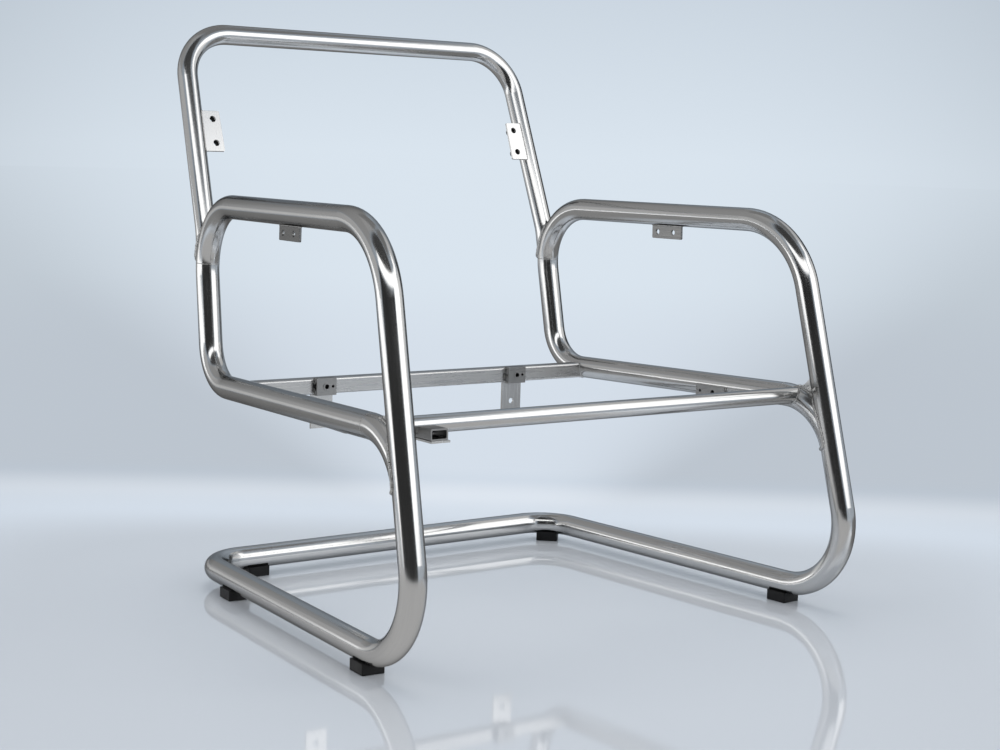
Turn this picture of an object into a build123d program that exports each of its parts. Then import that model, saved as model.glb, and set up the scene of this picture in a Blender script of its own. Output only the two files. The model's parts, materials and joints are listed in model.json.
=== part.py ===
"""Welded tube frame of a lounge armchair, in millimetres.

The floor is Z = 0, the chair faces -Y and X = 0 is its mid-plane. Each side lies in a
plane of its own, which opens towards the front and leans out a little at the foot.
"""

import os
from math import cos, radians, sin, sqrt, tan

from build123d import *

os.makedirs("parts", exist_ok=True)

# Tube sections
TUBE = 32.0
WALL = 2.0
HOOP_TUBE = 28.0
BAR_TUBE = 22.0
BAR_WALL = 1.5

# Height of the base tube's axis over the floor, and place of the rear crossbar
AXIS_HEIGHT = 26.0
CROSSBAR_Y = 232.0

# Side planes: half width on the crossbar's axis, opening and lean in degrees
BASE_HALF = 302.0
TOE = 4.1
SPLAY = 1.05

# Side view, measured forward from the crossbar and up from the base tube's axis
LEG_FOOT = 614.0
LEG_LEAN = 14.4
ARM_RISE = 494.0
UPRIGHT_FOOT = 59.0
UPRIGHT_LEAN = 10.2
RAIL_RISE = 252.0
RAIL_SLOPE = 1.0
RAIL_MEET = 8.6
RAIL_END_STRAIGHT = 8.8
HOOP_KINK = 460.0
HOOP_LEAN = 20.4
HOOP_RISE = 731.0
SPLIT = 466.0
SEAM_STRAIGHT = 2.0

# Gap that the coped and cut edges keep from the tube that they are welded to
WELD_GAP = 0.1

# Bend radii on the tubes' axes
CORNER_R = 58.0
FOOT_R = 95.0
ARM_FRONT_R = 114.0
ARM_REAR_R = 82.0
RAIL_REAR_R = 65.0
RAIL_FRONT_R = 88.0
KINK_R = 90.0
HOOP_R = 71.0

# Gusset between rail and leg
GUSSET_BACK = 500.0
GUSSET_RISE = 291.0
GUSSET_R = 26.0
GUSSET_SHEET = 5.0

# Seat bars
REAR_BAR_FORWARD = 72.0
REAR_BAR_RISE = 249.5
REAR_BAR_DEPTH = 20.0
REAR_BAR_HEIGHT = 22.0
REAR_BAR_CORNER = 3.0
FRONT_BAR_FORWARD = 500.0
FRONT_BAR_RISE = 262.0

# Tabs on the hoop and under the arms
PLATE = 3.0
PLATE_CORNER = 2.0
BACK_TAB_RISE = 591.0
BACK_TAB_LENGTH = 59.0
BACK_TAB_REACH = 37.5
BACK_TAB_WIDTH = 29.0
BACK_TAB_HOLE_IN = 26.0
BACK_TAB_FORWARD = 9.0
BACK_TAB_HOLE = 9.0
BACK_TAB_PITCH = 35.0
ARM_TAB_FORWARD = 216.0
ARM_TAB_LENGTH = 58.0
ARM_TAB_DROP = 19.0
ARM_TAB_HOLE = 7.5
ARM_TAB_PITCH = 31.0
ARM_TAB_EDGE = 10.5

# Brackets and plates for the seat
BRACKET_OUT = 163.0
BRACKET_LENGTH = 31.0
BRACKET_HEIGHT = 24.0
BRACKET_DEPTH = 8.0
BRACKET_LAP = 4.0
BRACKET_SHEET = 2.5
BRACKET_HOLE = 6.6
BRACKET_RIM = 11.0
BRACKET_SMALL_HOLE = 4.0
BRACKET_PITCH = 10.0
DROP_WIDTH = 34.0
DROP_LENGTH = 48.0
DROP_BACK = 5.0
DROP_HOLE = 8.5
DROP_HOLE_DOWN = 29.0
RAIL_PLATE_FORWARD = 328.0
RAIL_PLATE_LENGTH = 54.0
RAIL_PLATE_HEIGHT = 22.0
RAIL_PLATE_TOP = 1.0
RAIL_PLATE_SINK = 0.4
RAIL_PLATE_EDGE = 8.0
RAIL_PLATE_PITCH = 24.0
RAIL_PLATE_HOLE_UP = 2.0

# Socket in front of the front bar
SOCKET_IN = 57.0
SOCKET_WIDTH = 24.0
SOCKET_HEIGHT = 14.0
SOCKET_LENGTH = 33.0
SOCKET_WALL = 2.0
SOCKET_DROP = 7.5
SOCKET_PLATE = 2.5

# Feet
FOOT_LENGTH = 32.0
FOOT_WIDTH = 30.0
FOOT_HEIGHT = 14.0
FOOT_EDGE = 1.0
FRONT_FOOT_FORWARD = 486.0
REAR_FOOT_FORWARD = 106.0
BAR_FOOT_OUT = 223.0

LEG_RUN = tan(radians(LEG_LEAN))
UPRIGHT_RUN = tan(radians(UPRIGHT_LEAN))
HOOP_RUN = tan(radians(HOOP_LEAN))
RAIL_RUN = tan(radians(RAIL_SLOPE))
TOE_OUT = tan(radians(TOE))
SPLAY_OUT = tan(radians(SPLAY))

# The right side's plane: local X runs back, local Y runs up, local Z points out
SIDE = Plane(
    origin=(BASE_HALF, CROSSBAR_Y, AXIS_HEIGHT),
    x_dir=(-TOE_OUT, 1, 0),
    z_dir=(1, TOE_OUT, SPLAY_OUT),
)


def side_point(point):
    """Turns a point of the side view into the frame's axes, on the right side."""
    return SIDE.from_local_coords(Vector(point[0], point[1], 0))


def left_point(point):
    right = side_point(point)
    return Vector(-right.X, right.Y, right.Z)


def rail_height(back):
    return RAIL_RISE - RAIL_RUN * back


# Corners of the side view, where the tubes' axes meet
foot_front = (-LEG_FOOT, 0)
arm_front = (-LEG_FOOT + LEG_RUN * ARM_RISE, ARM_RISE)
arm_rear = (-UPRIGHT_FOOT + UPRIGHT_RUN * ARM_RISE, ARM_RISE)
rail_rear_rise = (RAIL_RISE + RAIL_RUN * UPRIGHT_FOOT) / (1 + RAIL_RUN * UPRIGHT_RUN)
rail_rear = (-UPRIGHT_FOOT + UPRIGHT_RUN * rail_rear_rise, rail_rear_rise)

# The upright is butt welded to the side tube just after the rear arm bend
bend_length = ARM_REAR_R * tan(radians(90 + UPRIGHT_LEAN) / 2)
seam_rise = ARM_RISE - (bend_length + SEAM_STRAIGHT) * cos(radians(UPRIGHT_LEAN))
seam = (-UPRIGHT_FOOT + UPRIGHT_RUN * seam_rise, seam_rise)

# The rail's front end bends down after its last straight run has met the leg's axis at
# a sharp angle: the corner lies on the rail's line, at that run's distance from the leg
rail_turn = 90 - LEG_LEAN - RAIL_MEET + RAIL_SLOPE
rail_tangent = RAIL_FRONT_R * tan(radians(rail_turn / 2))
end_length = rail_tangent + RAIL_END_STRAIGHT
leg_gap = end_length * sin(radians(RAIL_MEET)) / cos(radians(LEG_LEAN))
rail_corner_back = (leg_gap - LEG_FOOT + LEG_RUN * RAIL_RISE) / (1 + LEG_RUN * RAIL_RUN)
rail_corner = (rail_corner_back, rail_height(rail_corner_back))
rail_bend_back = rail_corner_back + rail_tangent * cos(radians(RAIL_SLOPE))
end_fall = radians(rail_turn - RAIL_SLOPE)
rail_end = (
    rail_corner[0] - end_length * cos(end_fall),
    rail_corner[1] - end_length * sin(end_fall),
)

# The hoop comes down to the upright's axis and then follows it into the arm bend
hoop_kink = (-UPRIGHT_FOOT + UPRIGHT_RUN * HOOP_KINK, HOOP_KINK)
hoop_top = (hoop_kink[0] + HOOP_RUN * (HOOP_RISE - HOOP_KINK), HOOP_RISE)
hoop_end = (seam[0] + UPRIGHT_RUN * TUBE / 2, seam[1] + TUBE / 2)

# Axes of the bent tubes
with BuildLine() as base_path:
    FilletPolyline(
        left_point((-SPLIT, 0)),
        left_point((0, 0)),
        side_point((0, 0)),
        side_point((-SPLIT, 0)),
        radius=CORNER_R,
    )

with BuildLine() as side_path:
    FilletPolyline(
        side_point((-SPLIT, 0)),
        side_point(foot_front),
        side_point(arm_front),
        side_point(arm_rear),
        side_point(seam),
        radius=[FOOT_R, ARM_FRONT_R, ARM_REAR_R],
    )

with BuildLine() as rail_path:
    FilletPolyline(
        side_point(seam),
        side_point(rail_rear),
        side_point(rail_corner),
        side_point(rail_end),
        radius=[RAIL_REAR_R, RAIL_FRONT_R],
    )

with BuildLine() as hoop_path:
    FilletPolyline(
        left_point(hoop_end),
        left_point(hoop_kink),
        left_point(hoop_top),
        side_point(hoop_top),
        side_point(hoop_kink),
        side_point(hoop_end),
        radius=[KINK_R, HOOP_R, HOOP_R, KINK_R],
    )

# Solid rods along the same axes, to cope the neighbours with
with BuildPart() as side_rod:
    with BuildSketch(Plane(side_path.line @ 0, z_dir=side_path.line % 0)):
        Circle(TUBE / 2 + WELD_GAP)
    sweep(path=side_path.line)

with BuildPart() as rail_rod:
    with BuildSketch(Plane(rail_path.line @ 0, z_dir=rail_path.line % 0)):
        Circle(TUBE / 2)
    sweep(path=rail_path.line)

with BuildPart() as hoop_rod:
    with BuildSketch(Plane(hoop_path.line @ 0, z_dir=hoop_path.line % 0)):
        Circle(HOOP_TUBE / 2)
    sweep(path=hoop_path.line)

with BuildPart() as side_rods:
    add(side_rod.part)
    mirror(side_rod.part, about=Plane.YZ)

with BuildPart() as rail_rods:
    add(rail_rod.part)
    mirror(rail_rod.part, about=Plane.YZ)

# Base tube: crossbar, corners and runners
with BuildPart() as base_tube:
    with BuildSketch(Plane(base_path.line @ 0, z_dir=base_path.line % 0)):
        Circle(TUBE / 2)
        Circle(TUBE / 2 - WALL, mode=Mode.SUBTRACT)
    sweep(path=base_path.line)

# Side tubes: lower front bend, leg, arm and rear arm bend
with BuildPart() as right_side_tube:
    with BuildSketch(Plane(side_path.line @ 0, z_dir=side_path.line % 0)):
        Circle(TUBE / 2)
        Circle(TUBE / 2 - WALL, mode=Mode.SUBTRACT)
    sweep(path=side_path.line)

with BuildPart() as left_side_tube:
    mirror(right_side_tube.part, about=Plane.YZ)

# Seat rail tubes: upright, rear bend, rail and front bend, coped on to the leg
with BuildPart() as right_rail_tube:
    with BuildSketch(Plane(rail_path.line @ 0, z_dir=rail_path.line % 0)):
        Circle(TUBE / 2)
        Circle(TUBE / 2 - WALL, mode=Mode.SUBTRACT)
    sweep(path=rail_path.line)
    add(side_rod.part, mode=Mode.SUBTRACT)

with BuildPart() as left_rail_tube:
    mirror(right_rail_tube.part, about=Plane.YZ)

# Gussets in the crotch between rail and leg
leg_back = TUBE / 2 / cos(radians(LEG_LEAN))
bend_centre_rise = rail_height(rail_bend_back) - RAIL_FRONT_R
rail_top_r = RAIL_FRONT_R + TUBE / 2
gusset_foot_rise = bend_centre_rise + sqrt(
    rail_top_r**2 - (GUSSET_BACK + rail_bend_back) ** 2
)
gusset_low = (-GUSSET_BACK, gusset_foot_rise)
gusset_high = (-LEG_FOOT + LEG_RUN * GUSSET_RISE + leg_back, GUSSET_RISE)
gusset_base_rise = gusset_foot_rise - TUBE * 0.6

with BuildPart() as right_gusset:
    with BuildSketch(SIDE):
        with BuildLine():
            Polyline(
                gusset_low,
                (-GUSSET_BACK - 4, gusset_base_rise),
                (-LEG_FOOT + LEG_RUN * gusset_base_rise, gusset_base_rise),
                gusset_high,
            )
            RadiusArc(gusset_high, gusset_low, -GUSSET_R)
        make_face()
    extrude(amount=GUSSET_SHEET / 2, both=True)
    add(side_rod.part, mode=Mode.SUBTRACT)
    add(rail_rod.part, mode=Mode.SUBTRACT)

with BuildPart() as left_gusset:
    mirror(right_gusset.part, about=Plane.YZ)

# Back hoop, coped on to the rear arm bends
with BuildPart() as back_hoop:
    with BuildSketch(Plane(hoop_path.line @ 0, z_dir=hoop_path.line % 0)):
        Circle(HOOP_TUBE / 2)
        Circle(HOOP_TUBE / 2 - WALL, mode=Mode.SUBTRACT)
    sweep(path=hoop_path.line)
    add(side_rods.part, mode=Mode.SUBTRACT)

# Rear seat bar, a rectangular tube between the rails
REAR_BAR = Plane(
    origin=(0, CROSSBAR_Y - REAR_BAR_FORWARD, AXIS_HEIGHT + REAR_BAR_RISE),
    x_dir=(0, 1, 0),
    z_dir=(1, 0, 0),
)

with BuildPart() as rear_bar:
    with BuildSketch(REAR_BAR):
        RectangleRounded(REAR_BAR_DEPTH, REAR_BAR_HEIGHT, REAR_BAR_CORNER)
        RectangleRounded(
            REAR_BAR_DEPTH - 2 * BAR_WALL,
            REAR_BAR_HEIGHT - 2 * BAR_WALL,
            REAR_BAR_CORNER - BAR_WALL,
            mode=Mode.SUBTRACT,
        )
    extrude(amount=BASE_HALF, both=True)
    add(rail_rods.part, mode=Mode.SUBTRACT)

# Front seat bar, a round tube between the rails
FRONT_BAR = Plane(
    origin=(0, CROSSBAR_Y - FRONT_BAR_FORWARD, AXIS_HEIGHT + FRONT_BAR_RISE),
    x_dir=(0, 1, 0),
    z_dir=(1, 0, 0),
)
front_half = BASE_HALF + TOE_OUT * FRONT_BAR_FORWARD - SPLAY_OUT * FRONT_BAR_RISE

with BuildPart() as front_bar_rod:
    with BuildSketch(FRONT_BAR):
        Circle(BAR_TUBE / 2)
    extrude(amount=front_half, both=True)

with BuildPart() as front_bar:
    with BuildSketch(FRONT_BAR):
        Circle(BAR_TUBE / 2)
        Circle(BAR_TUBE / 2 - BAR_WALL, mode=Mode.SUBTRACT)
    extrude(amount=front_half, both=True)
    add(rail_rods.part, mode=Mode.SUBTRACT)

# Back tabs, on the inner side of the hoop's uprights and parallel to the hoop
tab_root = (hoop_kink[0] + HOOP_RUN * (BACK_TAB_RISE - HOOP_KINK), BACK_TAB_RISE)
BACK_TAB = Plane(
    origin=side_point(tab_root),
    x_dir=(1, 0, 0),
    z_dir=(0, -cos(radians(HOOP_LEAN)), sin(radians(HOOP_LEAN))),
).offset(BACK_TAB_FORWARD - PLATE / 2)

with BuildPart() as right_back_tab:
    with BuildSketch(BACK_TAB):
        with Locations((BACK_TAB_WIDTH / 2 - BACK_TAB_REACH, 0)):
            RectangleRounded(BACK_TAB_WIDTH, BACK_TAB_LENGTH, PLATE_CORNER)
        with Locations((-BACK_TAB_HOLE_IN, 0)):
            with GridLocations(1, BACK_TAB_PITCH, 1, 2):
                Circle(BACK_TAB_HOLE / 2, mode=Mode.SUBTRACT)
    extrude(amount=PLATE)
    add(hoop_rod.part, mode=Mode.SUBTRACT)

with BuildPart() as left_back_tab:
    mirror(right_back_tab.part, about=Plane.YZ)

# Arm tabs, upright plates under the arms
arm_under = ARM_RISE - TUBE / 2
tab_height = ARM_TAB_DROP + 4

with BuildPart() as right_arm_tab:
    with BuildSketch(SIDE):
        with Locations(
            (
                -ARM_TAB_FORWARD - ARM_TAB_LENGTH / 2,
                arm_under - ARM_TAB_DROP + tab_height / 2,
            )
        ):
            RectangleRounded(ARM_TAB_LENGTH, tab_height, PLATE_CORNER)
        with Locations(
            (-ARM_TAB_FORWARD - ARM_TAB_EDGE, arm_under - ARM_TAB_DROP / 2),
            (
                -ARM_TAB_FORWARD - ARM_TAB_EDGE - ARM_TAB_PITCH,
                arm_under - ARM_TAB_DROP / 2,
            ),
        ):
            Circle(ARM_TAB_HOLE / 2, mode=Mode.SUBTRACT)
    extrude(amount=PLATE / 2, both=True)
    add(side_rod.part, mode=Mode.SUBTRACT)

with BuildPart() as left_arm_tab:
    mirror(right_arm_tab.part, about=Plane.YZ)

# Rear seat brackets, folded covers open at both ends and lapped over the bar
with BuildPart() as rear_bar_block:
    with BuildSketch(REAR_BAR):
        RectangleRounded(REAR_BAR_DEPTH, REAR_BAR_HEIGHT, REAR_BAR_CORNER)
    extrude(amount=BASE_HALF, both=True)

bracket_long = BRACKET_DEPTH + BRACKET_LAP
bracket_front = -REAR_BAR_DEPTH / 2 - BRACKET_DEPTH
BRACKET_FACE = Plane(
    origin=(
        BRACKET_OUT,
        CROSSBAR_Y - REAR_BAR_FORWARD + bracket_front,
        AXIS_HEIGHT + REAR_BAR_RISE,
    ),
    x_dir=(1, 0, 0),
    z_dir=(0, -1, 0),
)

with BuildPart() as right_rear_bracket:
    with BuildSketch(REAR_BAR.offset(BRACKET_OUT - BRACKET_LENGTH / 2)):
        with Locations((bracket_front + bracket_long / 2, 0)):
            Rectangle(bracket_long, BRACKET_HEIGHT)
        with Locations((bracket_front + BRACKET_SHEET + bracket_long / 2, 0)):
            Rectangle(
                bracket_long,
                BRACKET_HEIGHT - 2 * BRACKET_SHEET,
                mode=Mode.SUBTRACT,
            )
    extrude(amount=BRACKET_LENGTH)
    add(rear_bar_block.part, mode=Mode.SUBTRACT)
    with BuildSketch(BRACKET_FACE):
        Circle(BRACKET_RIM / 2)
    extrude(amount=0.8)
    with BuildSketch(BRACKET_FACE.offset(1)):
        Circle(BRACKET_HOLE / 2)
        with Locations((BRACKET_PITCH, 0)):
            Circle(BRACKET_SMALL_HOLE / 2)
    extrude(amount=-BRACKET_SHEET - 2, mode=Mode.SUBTRACT)

with BuildPart() as left_rear_bracket:
    add(right_rear_bracket.part.moved(Location((-2 * BRACKET_OUT, 0, 0))))

# Drop plates under the rear bar
bar_under = AXIS_HEIGHT + REAR_BAR_RISE - REAR_BAR_HEIGHT / 2
DROP_FACE = Plane(
    origin=(
        BRACKET_OUT,
        CROSSBAR_Y - REAR_BAR_FORWARD - REAR_BAR_DEPTH / 2 + DROP_BACK,
        bar_under,
    ),
    x_dir=(1, 0, 0),
    z_dir=(0, -1, 0),
)

with BuildPart() as right_drop_plate:
    with BuildSketch(DROP_FACE):
        with Locations((0, -DROP_LENGTH / 2)):
            Rectangle(DROP_WIDTH, DROP_LENGTH)
        with Locations((0, -DROP_HOLE_DOWN)):
            Circle(DROP_HOLE / 2, mode=Mode.SUBTRACT)
    extrude(amount=-PLATE)

with BuildPart() as left_drop_plate:
    mirror(right_drop_plate.part, about=Plane.YZ)

# Rail plates, on the inner side of the rails and below their axis
RAIL_PLATE = SIDE.offset(RAIL_PLATE_SINK - TUBE / 2)
plate_rear = -RAIL_PLATE_FORWARD
plate_middle = rail_height(plate_rear) + RAIL_PLATE_TOP - RAIL_PLATE_HEIGHT / 2

with BuildPart() as right_rail_plate:
    with BuildSketch(RAIL_PLATE):
        with Locations((plate_rear - RAIL_PLATE_LENGTH / 2, plate_middle)):
            Rectangle(RAIL_PLATE_LENGTH, RAIL_PLATE_HEIGHT)
        with Locations((plate_rear - RAIL_PLATE_EDGE, plate_middle + RAIL_PLATE_HOLE_UP)):
            Circle(BRACKET_SMALL_HOLE / 2, mode=Mode.SUBTRACT)
        with Locations(
            (plate_rear - RAIL_PLATE_EDGE - RAIL_PLATE_PITCH, plate_middle + RAIL_PLATE_HOLE_UP)
        ):
            Circle(BRACKET_HOLE / 2, mode=Mode.SUBTRACT)
    extrude(amount=-PLATE)
    add(rail_rod.part, mode=Mode.SUBTRACT)

with BuildPart() as left_rail_plate:
    mirror(right_rail_plate.part, about=Plane.YZ)

# Socket, a stub of rectangular tube in front of the front bar, on its plate
SOCKET_FACE = Plane(
    origin=(
        SOCKET_IN - front_half,
        CROSSBAR_Y - FRONT_BAR_FORWARD - SOCKET_LENGTH,
        AXIS_HEIGHT + FRONT_BAR_RISE - SOCKET_DROP,
    ),
    x_dir=(1, 0, 0),
    z_dir=(0, -1, 0),
)

with BuildPart() as socket_tube:
    with BuildSketch(SOCKET_FACE):
        RectangleRounded(SOCKET_WIDTH, SOCKET_HEIGHT, SOCKET_WALL)
        RectangleRounded(
            SOCKET_WIDTH - 2 * SOCKET_WALL,
            SOCKET_HEIGHT - 2 * SOCKET_WALL,
            SOCKET_WALL / 2,
            mode=Mode.SUBTRACT,
        )
    extrude(amount=-SOCKET_LENGTH)
    add(front_bar_rod.part, mode=Mode.SUBTRACT)

with BuildPart() as socket_plate:
    with BuildSketch(SOCKET_FACE.offset(2)):
        with Locations((1, -SOCKET_HEIGHT / 2 - SOCKET_PLATE / 2)):
            Rectangle(SOCKET_WIDTH + 2, SOCKET_PLATE)
    extrude(amount=-SOCKET_LENGTH - 2)

# Feet, blocks with a saddle for the tube
with BuildPart() as foot_block:
    with BuildSketch():
        Rectangle(FOOT_LENGTH, FOOT_WIDTH)
    extrude(amount=FOOT_HEIGHT)
    chamfer(foot_block.edges().filter_by(Axis.Z), length=FOOT_EDGE)
    chamfer(foot_block.faces().sort_by(Axis.Z)[0].edges(), length=FOOT_EDGE / 2)

with BuildPart() as base_rod:
    with BuildSketch(Plane(base_path.line @ 0, z_dir=base_path.line % 0)):
        Circle(TUBE / 2)
    sweep(path=base_path.line)

front_foot_place = side_point((-FRONT_FOOT_FORWARD, 0))
rear_foot_place = left_point((-REAR_FOOT_FORWARD, 0))
corner_half = radians(90 + TOE) / 2
corner_inset = CORNER_R * (1 / sin(corner_half) - 1)
corner_foot_x = BASE_HALF - corner_inset * cos(corner_half)
corner_foot_y = CROSSBAR_Y - corner_inset * sin(corner_half)

with BuildPart() as right_front_foot:
    with Locations(
        Location((front_foot_place.X, front_foot_place.Y, 0), (0, 0, 90 + TOE))
    ):
        add(foot_block.part)
    add(side_rod.part, mode=Mode.SUBTRACT)

with BuildPart() as left_front_foot:
    mirror(right_front_foot.part, about=Plane.YZ)

with BuildPart() as left_rear_foot:
    with Locations(
        Location((rear_foot_place.X, rear_foot_place.Y, 0), (0, 0, 90 - TOE))
    ):
        add(foot_block.part)
    add(base_rod.part, mode=Mode.SUBTRACT)

with BuildPart() as crossbar_foot:
    with Locations((-BAR_FOOT_OUT, CROSSBAR_Y, 0)):
        add(foot_block.part)
    add(base_rod.part, mode=Mode.SUBTRACT)

with BuildPart() as right_corner_foot:
    with Locations(
        Location((corner_foot_x, corner_foot_y, 0), (0, 0, -45 + TOE / 2))
    ):
        add(foot_block.part)
    add(base_rod.part, mode=Mode.SUBTRACT)

# Labels and files, one per piece
base_tube.part.label = "base_tube"
left_side_tube.part.label = "left_side_tube"
right_side_tube.part.label = "right_side_tube"
left_rail_tube.part.label = "left_rail_tube"
right_rail_tube.part.label = "right_rail_tube"
left_gusset.part.label = "left_gusset"
right_gusset.part.label = "right_gusset"
back_hoop.part.label = "back_hoop"
rear_bar.part.label = "rear_bar"
front_bar.part.label = "front_bar"
left_back_tab.part.label = "left_back_tab"
right_back_tab.part.label = "right_back_tab"
left_arm_tab.part.label = "left_arm_tab"
right_arm_tab.part.label = "right_arm_tab"
left_rear_bracket.part.label = "left_rear_bracket"
right_rear_bracket.part.label = "right_rear_bracket"
left_drop_plate.part.label = "left_drop_plate"
right_drop_plate.part.label = "right_drop_plate"
left_rail_plate.part.label = "left_rail_plate"
right_rail_plate.part.label = "right_rail_plate"
socket_tube.part.label = "socket_tube"
socket_plate.part.label = "socket_plate"
left_front_foot.part.label = "left_front_foot"
right_front_foot.part.label = "right_front_foot"
left_rear_foot.part.label = "left_rear_foot"
crossbar_foot.part.label = "crossbar_foot"
right_corner_foot.part.label = "right_corner_foot"

export_step(base_tube.part, "parts/base_tube.step")
export_step(left_side_tube.part, "parts/left_side_tube.step")
export_step(right_side_tube.part, "parts/right_side_tube.step")
export_step(left_rail_tube.part, "parts/left_rail_tube.step")
export_step(right_rail_tube.part, "parts/right_rail_tube.step")
export_step(left_gusset.part, "parts/left_gusset.step")
export_step(right_gusset.part, "parts/right_gusset.step")
export_step(back_hoop.part, "parts/back_hoop.step")
export_step(rear_bar.part, "parts/rear_bar.step")
export_step(front_bar.part, "parts/front_bar.step")
export_step(left_back_tab.part, "parts/left_back_tab.step")
export_step(right_back_tab.part, "parts/right_back_tab.step")
export_step(left_arm_tab.part, "parts/left_arm_tab.step")
export_step(right_arm_tab.part, "parts/right_arm_tab.step")
export_step(left_rear_bracket.part, "parts/left_rear_bracket.step")
export_step(right_rear_bracket.part, "parts/right_rear_bracket.step")
export_step(left_drop_plate.part, "parts/left_drop_plate.step")
export_step(right_drop_plate.part, "parts/right_drop_plate.step")
export_step(left_rail_plate.part, "parts/left_rail_plate.step")
export_step(right_rail_plate.part, "parts/right_rail_plate.step")
export_step(socket_tube.part, "parts/socket_tube.step")
export_step(socket_plate.part, "parts/socket_plate.step")
export_step(left_front_foot.part, "parts/left_front_foot.step")
export_step(right_front_foot.part, "parts/right_front_foot.step")
export_step(left_rear_foot.part, "parts/left_rear_foot.step")
export_step(crossbar_foot.part, "parts/crossbar_foot.step")
export_step(right_corner_foot.part, "parts/right_corner_foot.step")
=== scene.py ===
"""Looks of a welded armchair frame in satin stainless tube, on a glossy pale studio floor."""

import json
from math import cos, pi, radians, sin, sqrt, tan

import bpy
import bmesh
from mathutils import Matrix, Vector
from mathutils.bvhtree import BVHTree


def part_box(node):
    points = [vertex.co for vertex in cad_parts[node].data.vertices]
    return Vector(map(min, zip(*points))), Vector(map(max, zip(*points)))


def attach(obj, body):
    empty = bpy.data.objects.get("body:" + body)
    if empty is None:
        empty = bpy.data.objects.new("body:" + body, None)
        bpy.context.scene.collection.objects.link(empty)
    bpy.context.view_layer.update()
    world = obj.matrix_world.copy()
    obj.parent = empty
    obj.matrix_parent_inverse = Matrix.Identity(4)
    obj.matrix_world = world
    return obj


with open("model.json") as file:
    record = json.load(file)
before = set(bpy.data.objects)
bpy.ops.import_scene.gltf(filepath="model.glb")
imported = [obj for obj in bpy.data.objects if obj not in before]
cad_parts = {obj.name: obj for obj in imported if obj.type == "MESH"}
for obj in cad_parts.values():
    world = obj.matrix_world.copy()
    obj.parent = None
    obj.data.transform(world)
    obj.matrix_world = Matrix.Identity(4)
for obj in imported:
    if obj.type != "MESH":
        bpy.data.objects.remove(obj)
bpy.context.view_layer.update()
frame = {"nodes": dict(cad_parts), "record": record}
nodes = frame["nodes"]
scene = bpy.context.scene
scene.view_settings.view_transform = "Standard"


# Camera. It stands at the front left of the chair, a little above its seat, and looks
# slightly down, as in the photograph. Places in metres, angles in radians.
CAMERA_PLACE = Vector((-1.4070, -1.9577, 0.5991))
CAMERA_YAW = 0.6324
CAMERA_PITCH = -0.1231
CAMERA_ROLL = 0.0283
CAMERA_LENS = 64.12
SENSOR_WIDTH = 36

ahead = Vector((
    sin(CAMERA_YAW) * cos(CAMERA_PITCH),
    cos(CAMERA_YAW) * cos(CAMERA_PITCH),
    sin(CAMERA_PITCH),
))
level_right = Vector((cos(CAMERA_YAW), -sin(CAMERA_YAW), 0))
level_up = level_right.cross(ahead)
camera_right = level_right * cos(CAMERA_ROLL) + level_up * sin(CAMERA_ROLL)
camera_up = level_up * cos(CAMERA_ROLL) - level_right * sin(CAMERA_ROLL)

camera_data = bpy.data.cameras.new("camera")
camera_data.sensor_width = SENSOR_WIDTH
camera_data.lens = CAMERA_LENS
camera_data.clip_start = 0.05
camera_data.clip_end = 60
camera = bpy.data.objects.new("camera", camera_data)
camera.matrix_world = Matrix.Translation(CAMERA_PLACE) @ Matrix(
    (camera_right, camera_up, -ahead)
).transposed().to_4x4()
scene.collection.objects.link(camera)
scene.camera = camera


# Studio. A glossy pale floor that turns into a blue-grey backdrop, with a painted highlight:
# a bright band where the two meet, as light on a round cove would show it from every side.
# The backdrop has a painted pool of light: it is a little brighter behind the chair.
FLOOR_REACH = 40.0
FLOOR_ROUGHNESS = 0.05
FLOOR_IOR = 1.8
COVE_BEHIND = 0.66
COVE_BEFORE = 2.6
COVE_BESIDE = 1.30
COVE_ROUNDNESS = 4.0
GLOSS_ENDS = (0.75, 1.5)
FLOOR_NEAR = (0.71, 0.715, 0.73, 1)
# The cove's bright band is a painted highlight: light falling on a round cove, put in the colour.
COVE_PAINTED_HIGHLIGHT = (0.92, 0.95, 0.99, 1)
BACKDROP_LOW = (0.665, 0.735, 0.82, 1)
BACKDROP_MIDDLE = (0.70, 0.78, 0.86, 1)
BACKDROP_HIGH = (0.52, 0.59, 0.67, 1)
COVE_LENGTHS = 10.0
# How far from the chair's middle each colour stands, in lengths of the floor that way.
COVE_STOPS = (
    (0.45, FLOOR_NEAR),
    (0.80, COVE_PAINTED_HIGHLIGHT),
    (0.97, COVE_PAINTED_HIGHLIGHT),
    (1.32, BACKDROP_LOW),
    (3.00, BACKDROP_LOW),
    (COVE_LENGTHS, BACKDROP_MIDDLE),
)
HIGH_STARTS = 0.16
BACKDROP_DIM = 0.76
GLOW_EDGE = 0.93


def node_of(tree, kind, **settings):
    """A node of a shader tree, with settings by attribute name."""
    made = tree.nodes.new(kind)
    for name, value in settings.items():
        setattr(made, name, value)
    return made


def math_of(tree, operation, first, second=0.0):
    """A Math node's result; each input is a socket or a number."""
    made = node_of(tree, "ShaderNodeMath", operation=operation)
    for socket, value in zip(made.inputs, (first, second)):
        if isinstance(value, (int, float)):
            socket.default_value = value
        else:
            tree.links.new(value, socket)
    return made.outputs["Value"]


def spread_of(tree, value, start, end, low=0.0, high=1.0, smooth=False):
    """A value between start and end, spread from low to high and held there beyond."""
    made = node_of(tree, "ShaderNodeMapRange", clamp=True)
    made.interpolation_type = "SMOOTHSTEP" if smooth else "LINEAR"
    made.inputs["From Min"].default_value = start
    made.inputs["From Max"].default_value = end
    made.inputs["To Min"].default_value = low
    made.inputs["To Max"].default_value = high
    tree.links.new(value, made.inputs["Value"])
    return made.outputs["Result"]


def reach_of(tree, vector, direction):
    """How far a vector socket reaches along a fixed direction."""
    made = node_of(tree, "ShaderNodeVectorMath", operation="DOT_PRODUCT")
    made.inputs[1].default_value = direction
    tree.links.new(vector, made.inputs[0])
    return made.outputs["Value"]


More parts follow.
